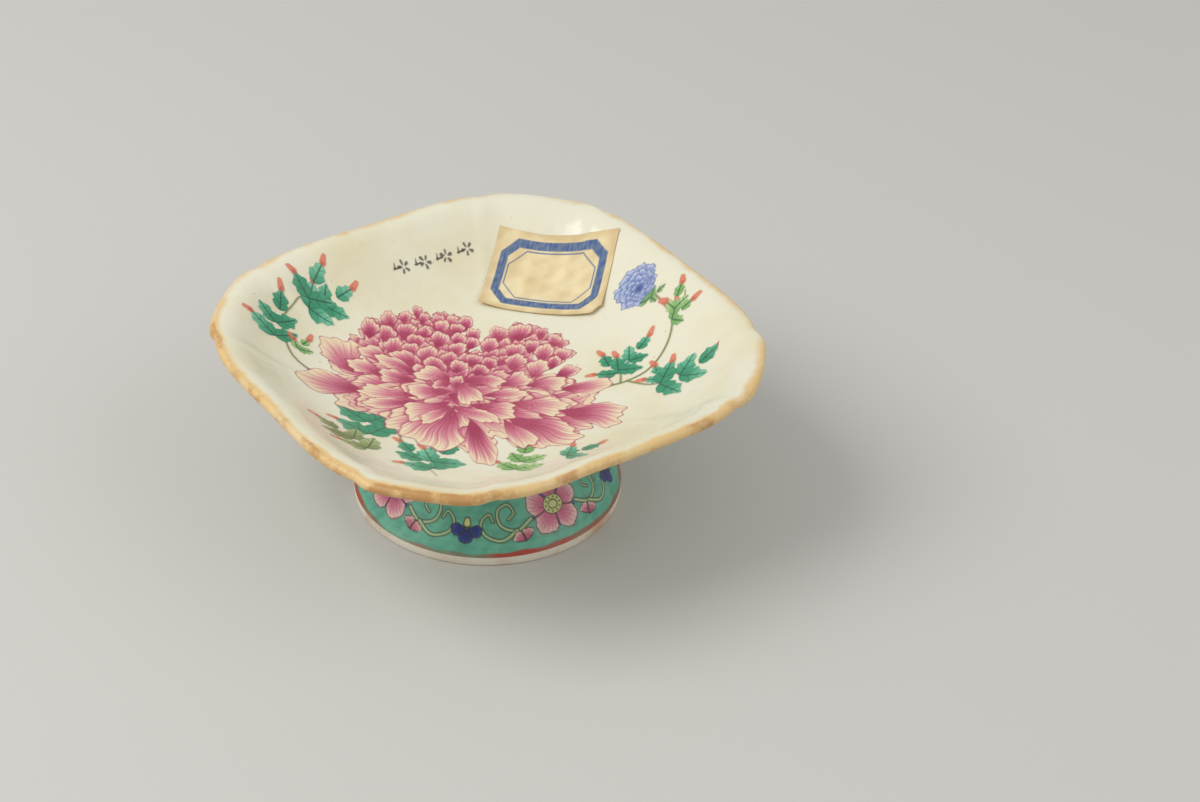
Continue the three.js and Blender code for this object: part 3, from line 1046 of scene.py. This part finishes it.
@dataclass(frozen=True)
class Foot:
    """The flared foot: its bare body, and the enamelled skin on its outside."""

    foot_radius: float = 46.5
    edge_height: float = 3.3
    edge_lean: float = 0.2
    edge_round: float = 0.8
    flare_radius: float = 33.2
    flare_height: float = 20.5
    neck_radius: float = NECK_RADIUS
    neck_height: float = 32.0
    wall: float = 4.5
    steps: int = 300
    wall_rings: int = 50
    corner_rings: int = 6
    motifs: int = 4
    skin: float = 0.07
    skin_step: float = 0.3
    paint_radius: float = 38.0
    lotus_angle: float = -87.0
    lotus_height: float = 14.0
    pendant_height: float = 9.5
    inner_round: float = 1.2
    seeds: int = 10
    seed_reach: float = 2.4
    seed_squash: float = 1.15

    def flare(self, share: Array) -> tuple[Array, Array, Array, Array]:
        """Radius, height and tangent of the outside: a quadratic curve from edge to neck."""
        radii = (self.foot_radius - self.edge_lean, self.flare_radius, self.neck_radius)
        heights = (self.edge_height, self.flare_height, self.neck_height)
        along_r = bezier(share, *np.diff(radii))
        along_z = bezier(share, *np.diff(heights))
        size = np.hypot(along_r, along_z)
        return bezier(share, *radii), bezier(share, *heights), along_r / size, along_z / size

    def body(self) -> bpy.types.Object:
        """The foot's wall, of even thickness, with worn round corners at its resting edge."""
        radius, height, along_r, along_z = self.flare(np.linspace(1.0, 0.0, self.wall_rings))
        outer = list(zip(radius, height))
        inner = list(zip(radius - along_z * self.wall, height + along_r * self.wall))[::-1]
        inner = inner[:-1] + [(self.neck_radius - self.wall, self.neck_height)]
        turn = np.radians(np.linspace(0.0, 90.0, self.corner_rings))
        r = self.edge_round
        corner = [(self.foot_radius - r + r * math.cos(a), r - r * math.sin(a)) for a in turn]
        low_r, low_z = inner[0]
        second = [(low_r + self.inner_round * (1 - math.sin(a)), low_z * (1 - math.cos(a))) for a in turn]
        section = np.array(outer + corner + second + inner[1:])
        return Mesher.turned("foot_body", section, self.steps)

    def ground(self, u: Array, v: Array) -> Array:
        """The turquoise ground, mottled, from arc length and slant."""
        mottle = np.clip(0.4 + 0.5 * ripple(u, v, 14.0, 3), 0.0, 1.0)
        mottle = mottle + 0.9 * smooth(ripple(u, v, 5.0, 14), 1.0, 1.8)
        return blend(TURQUOISE, TURQUOISE_DARK, 0.5 * mottle)

    def lotus(self, canvas: Canvas, u: float, v: float) -> None:
        """Lays a five-petalled lotus seen from the front, with blue sepals and a seeded middle."""
        for k in range(5):
            heading = 90 + 72 * k + 36
            Petal((u, v), heading, 8.2, 16.0, 300 + k, SEPAL_TONES, shade=0.0).paint(canvas)
        style = {"tones": LOTUS_TONES, "shade": 0.1, "depth": 0.66, "frill": 0.02, "outline": 0.9}
        for k in range(5):
            Petal((u, v), 90 + 72 * k, 10.4, 34.0, 310 + k, **style).paint(canvas)
        where = canvas.window((u, v), 5.0)
        away = np.hypot((canvas.u[where] - u) / self.seed_squash, canvas.v[where] - v)
        canvas.lay(where, smooth(-away, -3.5, -3.2), OUTLINE)
        canvas.lay(where, smooth(-away, -3.2, -3.0), SEED_YELLOW)
        canvas.lay(where, smooth(-np.abs(away - 1.5), -0.25, -0.12), OUTLINE)
        for k in range(self.seeds):
            angle = FULL_TURN * k / self.seeds
            across = u + self.seed_reach * self.seed_squash * math.cos(angle)
            spot = (across, v + self.seed_reach * math.sin(angle))
            canvas.stroke([spot, (spot[0] + 0.05, spot[1])], (0.5, 0.5), OUTLINE)

    def scroll(self, canvas: Canvas, u: float, v: float, side: int) -> None:
        """Lays a vine that curls away from a lotus to one side, with buds and hooks."""
        runs = (
            [(9, -2), (14, -5), (19, -3), (20, 2), (16.5, 4), (14.5, 1), (16.5, -1)],
            [(14, -5), (19, -8), (24, -6), (25.5, -2), (23, 1), (21.5, -1.5)],
            [(8, 5), (13, 9), (19, 9), (23, 6)],
            [(13, 9), (12, 13), (9, 13)],
        )
        for run in runs:
            path = [(u + side * a, v + b) for a, b in run]
            canvas.stroke(path, (1.5, 1.1), OUTLINE)
            canvas.stroke(path, (0.9, 0.5), VINE)
        style = {"tones": BUD_TONES, "shade": 0.0, "outline": 0.9}
        for a, b in ((22.5, 6.5), (11.5, -8.0)):
            for turn in (-38, 38):
                spot = (u + side * a, v + b - 1.0)
                Petal(spot, 90 - 20 * side + turn, 4.6, 34.0, 400 + turn, **style).paint(canvas)

    def pendant(self, canvas: Canvas, u: float, v: float) -> None:
        """Lays a blue trefoil with a yellow-green dot, midway between two lotuses."""
        style = {"tones": PENDANT_TONES, "shade": 0.0, "outline": 0.9, "frill": 0.0}
        for heading in (192, 348, 270):
            Petal((u, v), heading, 5.0, 40.0, 430, **style).paint(canvas)
        canvas.stroke([(u, v + 1.6), (u, v + 3.0)], (2.6, 2.0), OUTLINE)
        canvas.stroke([(u, v + 1.7), (u, v + 2.9)], (1.9, 1.4), SEED_YELLOW)

    def enamel(self) -> bpy.types.Object:
        """The painted skin over the foot's outside, as arc length by slant."""
        dense = np.linspace(0.0, 1.0, 400)
        radius, height, _, _ = self.flare(dense)
        slant = np.concatenate([[0.0], np.cumsum(np.hypot(np.diff(radius), np.diff(height)))])
        around = FULL_TURN * self.paint_radius
        columns = int(around / self.skin_step)
        canvas = Canvas((0.0, 0.0), (around - self.skin_step, slant[-1]), around / columns, self.ground)
        canvas.u, canvas.v = canvas.u[:, :columns], canvas.v[:, :columns]
        canvas.colour, canvas.cover = canvas.colour[:, :columns], canvas.cover[:, :columns]
        pitch = around / self.motifs
        start = math.radians(self.lotus_angle + 90.0) * self.paint_radius
        places = [start + pitch * k for k in range(-1, self.motifs + 1)]
        for place in places:
            for side in (-1, 1):
                self.scroll(canvas, place, self.lotus_height - 0.5, side)
        for place in places:
            self.pendant(canvas, place + 0.5 * pitch, self.pendant_height)
            self.lotus(canvas, place, self.lotus_height)
        wobble = 0.25 * ripple(canvas.u, canvas.v, 18.0, 8)
        worn = np.clip(0.62 + 0.4 * ripple(canvas.u, 0.0 * canvas.v, 60.0, 31), 0.2, 1.0)
        line = smooth(-(canvas.v + wobble), -1.0 - 0.9 * worn, -0.5 - 0.9 * worn)
        canvas.lay(WHOLE, worn * line, IRON_RED)
        share = np.interp(canvas.v[:, 0], slant, dense)
        r, z, tr, tz = self.flare(share)
        r, z = r + tz * self.skin, z - tr * self.skin
        angle = canvas.u[0] / self.paint_radius - math.pi / 2.0
        x, y = r[:, None] * np.cos(angle), r[:, None] * np.sin(angle)
        points = np.stack([x, y, np.broadcast_to(z[:, None], x.shape)], -1).reshape(-1, 3)
        rows, steps = canvas.u.shape
        faces = Mesher.band_faces(rows, steps, closed=False)[:, ::-1]
        return Mesher.piece("foot_enamel", points, faces, {"paint": to_linear(canvas.colour).reshape(-1, 3)})


@dataclass
class Joint:
    """The bead of slip between the dish and its foot."""

    neck_radius: float = NECK_RADIUS
    neck_inner: float = NECK_INNER
    low: float = 32.0
    high: float = 33.0
    proud: float = 0.4
    steps: int = 240

    def build(self) -> bpy.types.Object:
        """A ring whose inner and outer faces bulge like half a drop."""
        turn = np.radians(np.linspace(-90.0, 90.0, 9))
        middle = (self.low + self.high) / 2.0
        half = (self.high - self.low) / 2.0
        outer = [(self.neck_radius + self.proud * math.cos(a), middle - half * math.sin(a)) for a in turn]
        inner = [(self.neck_inner - self.proud * math.cos(a), middle + half * math.sin(a)) for a in turn]
        return Mesher.turned("slip_bead", np.array(outer + inner), self.steps)


def to_plan(across: Array, out: Array) -> tuple[Array, Array]:
    """Plan coordinates from across and out, which point right and away along the label's diagonal."""
    x = out * math.cos(DIAGONAL) + across * math.sin(DIAGONAL)
    y = out * math.sin(DIAGONAL) - across * math.cos(DIAGONAL)
    return x, y


@dataclass
class Painting:
    """The enamel spray inside the dish, as thin painted skins on the glaze."""

    form: Form = Form()
    low: Point = (-86.0, -62.0)
    high: Point = (76.0, 74.0)
    step: float = 0.27
    lift: float = 0.05
    build_up: float = 0.06
    least_cover: float = 0.02
    rim_share: float = 0.97
    strips: int = 4

    def ground(self, u: Array, v: Array) -> Array:
        """The glaze's own colour, under the thin places of the enamel."""
        return np.tile(np.asarray(GLAZE, float), (*u.shape, 1))

    def build(self) -> list[bpy.types.Object]:
        """Paints one canvas and cuts it into upright strips, each a piece of its own."""
        canvas = Canvas(self.low, self.high, self.step, self.ground)
        Spray().paint(canvas)
        Peony().paint(canvas)
        x, y = to_plan(canvas.u, canvas.v)
        inside = np.hypot(x, y) < self.rim_share * self.form.rim_radius(np.arctan2(y, x))
        z = self.form.height(x, y) + self.lift + self.build_up * canvas.cover
        points = np.stack([x, y, z], -1)
        colour = to_linear(canvas.colour)
        held = (canvas.cover > self.least_cover) & inside
        wide = held.copy()
        for axis in (0, 1):
            for shift in (-1, 1):
                wide |= np.roll(held, shift, axis)
        pieces = []
        edges = np.linspace(0, canvas.u.shape[1] - 1, self.strips + 1).astype(int)
        for number, (first, last) in enumerate(zip(edges[:-1], edges[1:])):
            cut = (slice(None), slice(first, last + 1))
            faces = Mesher.sheet_faces(wide[cut])
            used, place = np.unique(faces, return_inverse=True)
            spots = points[cut].reshape(-1, 3)[used]
            flags = {"paint": colour[cut].reshape(-1, 3)[used]}
            pieces.append(Mesher.piece(f"painting_{number + 1}", spots, place.reshape(-1, 4), flags))
        return pieces


@dataclass
class Label:
    """The aged paper label and the dried paste that holds it."""

    form: Form = Form()
    width: float = 44.0
    reach: float = 31.0
    distance: float = 61.8
    shift: float = 8.3
    tilt: float = 1.8
    clip: float = 3.0
    clip_width: float = 3.5
    lift: float = 0.24
    thickness: float = 0.22
    curl: float = 0.5
    step: float = 0.25
    frame_margin: float = 2.4
    frame_width: float = 3.0
    frame_cut: float = 5.2
    line_margin: float = 6.1
    line_cut: float = 5.6
    paste_inset: float = 1.5
    paste_lift: float = 0.06
    paste_thickness: float = 0.16
    paste_step: float = 0.8

    def ground(self, u: Array, v: Array) -> Array:
        """Paper with brown clouds that grow towards its edges."""
        edge = np.minimum(self.width / 2.0 - np.abs(u), self.reach / 2.0 - np.abs(v))
        stain = 0.30 + 0.35 * ripple(u, v, 26.0, 21) + 0.55 * smooth(-edge, -3.0, 0.0)
        return blend(PAPER, PAPER_STAIN, 0.45 * np.clip(stain, 0.0, 1.0))

    def inset(self, u: Array, v: Array, margin: float, cut: float) -> Array:
        """Distance inside a rectangle with cut corners, a margin in from the label's edge."""
        across = self.width / 2.0 - margin - np.abs(u)
        up = self.reach / 2.0 - margin - np.abs(v)
        return np.minimum(np.minimum(across, up), (across + up - cut) / math.sqrt(2.0))

    def canvas(self) -> Canvas:
        """The bare sheet."""
        low = (-self.width / 2.0, -self.reach / 2.0)
        return Canvas(low, (-low[0], -low[1]), self.step, self.ground)

    def paint(self) -> Canvas:
        """Prints the blue frame with cut corners and its thin inner line on the sheet."""
        canvas = self.canvas()
        frame = self.inset(canvas.u, canvas.v, self.frame_margin, self.frame_cut)
        band = smooth(frame, -0.1, 0.15) * smooth(-frame, -self.frame_width, 0.3 - self.frame_width)
        wear = 0.86 + 0.14 * ripple(canvas.u, canvas.v, 5.0, 9)
        canvas.lay(WHOLE, wear * band, FRAME_BLUE)
        line = self.inset(canvas.u, canvas.v, self.line_margin, self.line_cut)
        canvas.lay(WHOLE, 0.8 * smooth(-np.abs(line), -0.30, -0.10), FRAME_BLUE)
        return canvas

    def stiffen(self, u: Array, v: Array, base: Array) -> Array:
        """Bridges the small hollows of the wall: the higher of the wall and a fitted smooth surface."""
        a, b = u / self.width, v / self.reach
        terms = np.stack([np.ones_like(a), a, b, a * a, a * b, b * b], -1).reshape(-1, 6)
        weights = np.linalg.lstsq(terms, base.ravel(), rcond=None)[0]
        fitted = (terms @ weights).reshape(base.shape)
        return (base + fitted + np.sqrt((base - fitted) ** 2 + 0.02)) / 2.0

    def sheet(
        self, name: str, canvas: Canvas, lift: float, thickness: float, curl: float
    ) -> bpy.types.Object:
        """A thin closed sheet that follows the wall.

        Args:
            name: Name of the piece.
            canvas: Its grid and colours.
            lift: Height of its underside over the glaze.
            thickness: Its thickness.
            curl: How far its lower edge lifts.
        """
        clipped = self.clip * smooth(canvas.u, self.width / 2.0 - self.clip_width, self.width / 2.0)
        v = canvas.v + clipped * (0.5 - canvas.v / self.reach)
        tilt = math.radians(self.tilt)
        across = canvas.u * math.cos(tilt) + v * math.sin(tilt)
        out = v * math.cos(tilt) - canvas.u * math.sin(tilt)
        x, y = to_plan(across + self.shift, out + self.distance)
        base = self.stiffen(canvas.u, v, self.form.height(x, y) + lift)
        raised = smooth(-canvas.v, self.reach * 0.25, self.reach / 2.0) * smooth(canvas.u, -30.0, 20.0)
        base = base + curl * raised
        top = np.stack([x, y, base + thickness], -1)
        bottom = np.stack([x, y, base], -1)
        rows, columns = canvas.u.shape
        number = np.arange(rows * columns).reshape(rows, columns)
        sheet = Mesher.sheet_faces(np.ones((rows, columns), bool))
        far = rows * columns
        edge = np.concatenate([number[0], number[1:, -1], number[-1, -2::-1], number[-2:0:-1, 0]])
        ahead = np.roll(edge, -1)
        walls = np.stack([edge, ahead, ahead + far, edge + far], -1)
        faces = np.concatenate([sheet + far, sheet[:, ::-1], walls])
        points = np.concatenate([bottom.reshape(-1, 3), top.reshape(-1, 3)])
        colour = to_linear(canvas.colour).reshape(-1, 3)
        return Mesher.piece(name, points, faces, {"paint": np.concatenate([colour, colour])})

    def build(self) -> tuple[bpy.types.Object, bpy.types.Object]:
        """The label and the paste under it."""
        label = self.sheet("label_sheet", self.paint(), self.lift, self.thickness, self.curl)
        inset = Label(
            width=self.width - 2.0 * self.paste_inset,
            reach=self.reach - 2.0 * self.paste_inset,
            step=self.paste_step,
        )
        paste = inset.sheet("paste_film", inset.canvas(), self.paste_lift, self.paste_thickness, 0.0)
        return label, paste


@dataclass
class Studio:
    """Camera, floor and soft lamps."""

    place: tuple[float, float, float] = (-413.85, -665.5, 579.37)
    aim: tuple[float, float, float] = (61.27, 21.03, 0.0)
    roll: float = 1.325
    lens: float = 83.74
    floor_reach: float = 4000.0
    sky: float = 0.52

    @staticmethod
    def stand(
        name: str, data: bpy.types.ID, place: Vector, aim: Vector, roll: float = 0.0
    ) -> bpy.types.Object:
        """Puts a camera or a lamp in its place, turned to its aim and rolled by degrees."""
        holder = bpy.data.objects.new(name, data)
        bpy.context.scene.collection.objects.link(holder)
        heading = (aim - place).to_track_quat("-Z", "Y").to_matrix().to_4x4()
        turn = Matrix.Rotation(math.radians(roll), 4, "Z")
        holder.matrix_world = Matrix.Translation(place) @ heading @ turn
        return holder

    def camera(self) -> None:
        """The photograph's view."""
        data = bpy.data.cameras.new("view")
        data.lens = self.lens
        data.sensor_width = 36.0
        data.clip_end = 20.0
        place, aim = Vector(self.place) * MM, Vector(self.aim) * MM
        bpy.context.scene.camera = self.stand("view", data, place, aim, self.roll)

    def floor(self) -> None:
        """A plain pale floor."""
        corners = ((-1, -1, 0), (1, -1, 0), (1, 1, 0), (-1, 1, 0))
        points = self.floor_reach * np.array(corners)
        floor = Mesher.piece("floor", points, np.array([[0, 1, 2, 3]]))
        shader = Shader("floor_paper")
        shader.put(shader.surface.inputs["Base Color"], FLOOR)
        shader.put(shader.surface.inputs["Roughness"], 0.9)
        floor.data.materials.append(shader.material)

    def lamp(self, name: str, place: tuple[float, float, float], size: float, power: float) -> None:
        """A square soft lamp that faces the dish."""
        data = bpy.data.lights.new(name, "AREA")
        data.size = size
        data.energy = power
        self.stand(name, data, Vector(place), Vector())

    def light(self) -> None:
        """A big lamp from the left and behind, a weak one from the right, and an even sky."""
        self.lamp("key", place=(-0.9, 0.35, 1.1), size=0.9, power=11.5)
        self.lamp("fill", place=(0.7, -0.9, 0.9), size=1.2, power=3.6)
        world = bpy.data.worlds.new("sky")
        world.use_nodes = True
        sockets = world.node_tree.nodes["Background"].inputs
        sockets["Color"].default_value = (1.0, 1.0, 1.0, 1.0)
        sockets["Strength"].default_value = self.sky
        bpy.context.scene.world = world

    def build(self) -> None:
        """Sets up the view, floor and light."""
        bpy.context.scene.view_settings.view_transform = "Standard"
        self.camera()
        self.floor()
        self.light()


def main() -> None:
    """Builds the studio and every piece."""
    logging.basicConfig(level=logging.INFO)
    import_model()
    Studio().build()
    glaze = GlazeFinish().material()
    settle(Dish().build(), Slot.GLAZE, glaze, "dish")
    foot = Foot()
    bare = PlainFinish("foot_glaze", (230, 222, 204), (204, 162, 128), 0.4).material()
    settle(foot.body(), Slot.GLAZE, bare, "foot")
    settle(foot.enamel(), Slot.ENAMEL, EnamelFinish("turquoise_enamel").material(), "foot")
    slip = PlainFinish("dried_slip", (217, 210, 189), (180, 160, 124), 0.6).material()
    settle(Joint().build(), Slot.SLIP, slip, "luting_slip")
    label, paste = Label().build()
    paper = EnamelFinish("aged_paper", roughness=0.8, mottle=0.12).material()
    settle(label, Slot.PAPER, paper, "paper_label")
    dried = PlainFinish("dried_paste", (201, 184, 140), (160, 128, 80)).material()
    settle(paste, Slot.PASTE, dried, "label_paste")
    enamel = EnamelFinish("painted_enamel", mottle=0.05).material()
    for piece in Painting().build():
        settle(piece, Slot.ENAMEL, enamel, "dish")


if __name__ == "__main__":
    main()
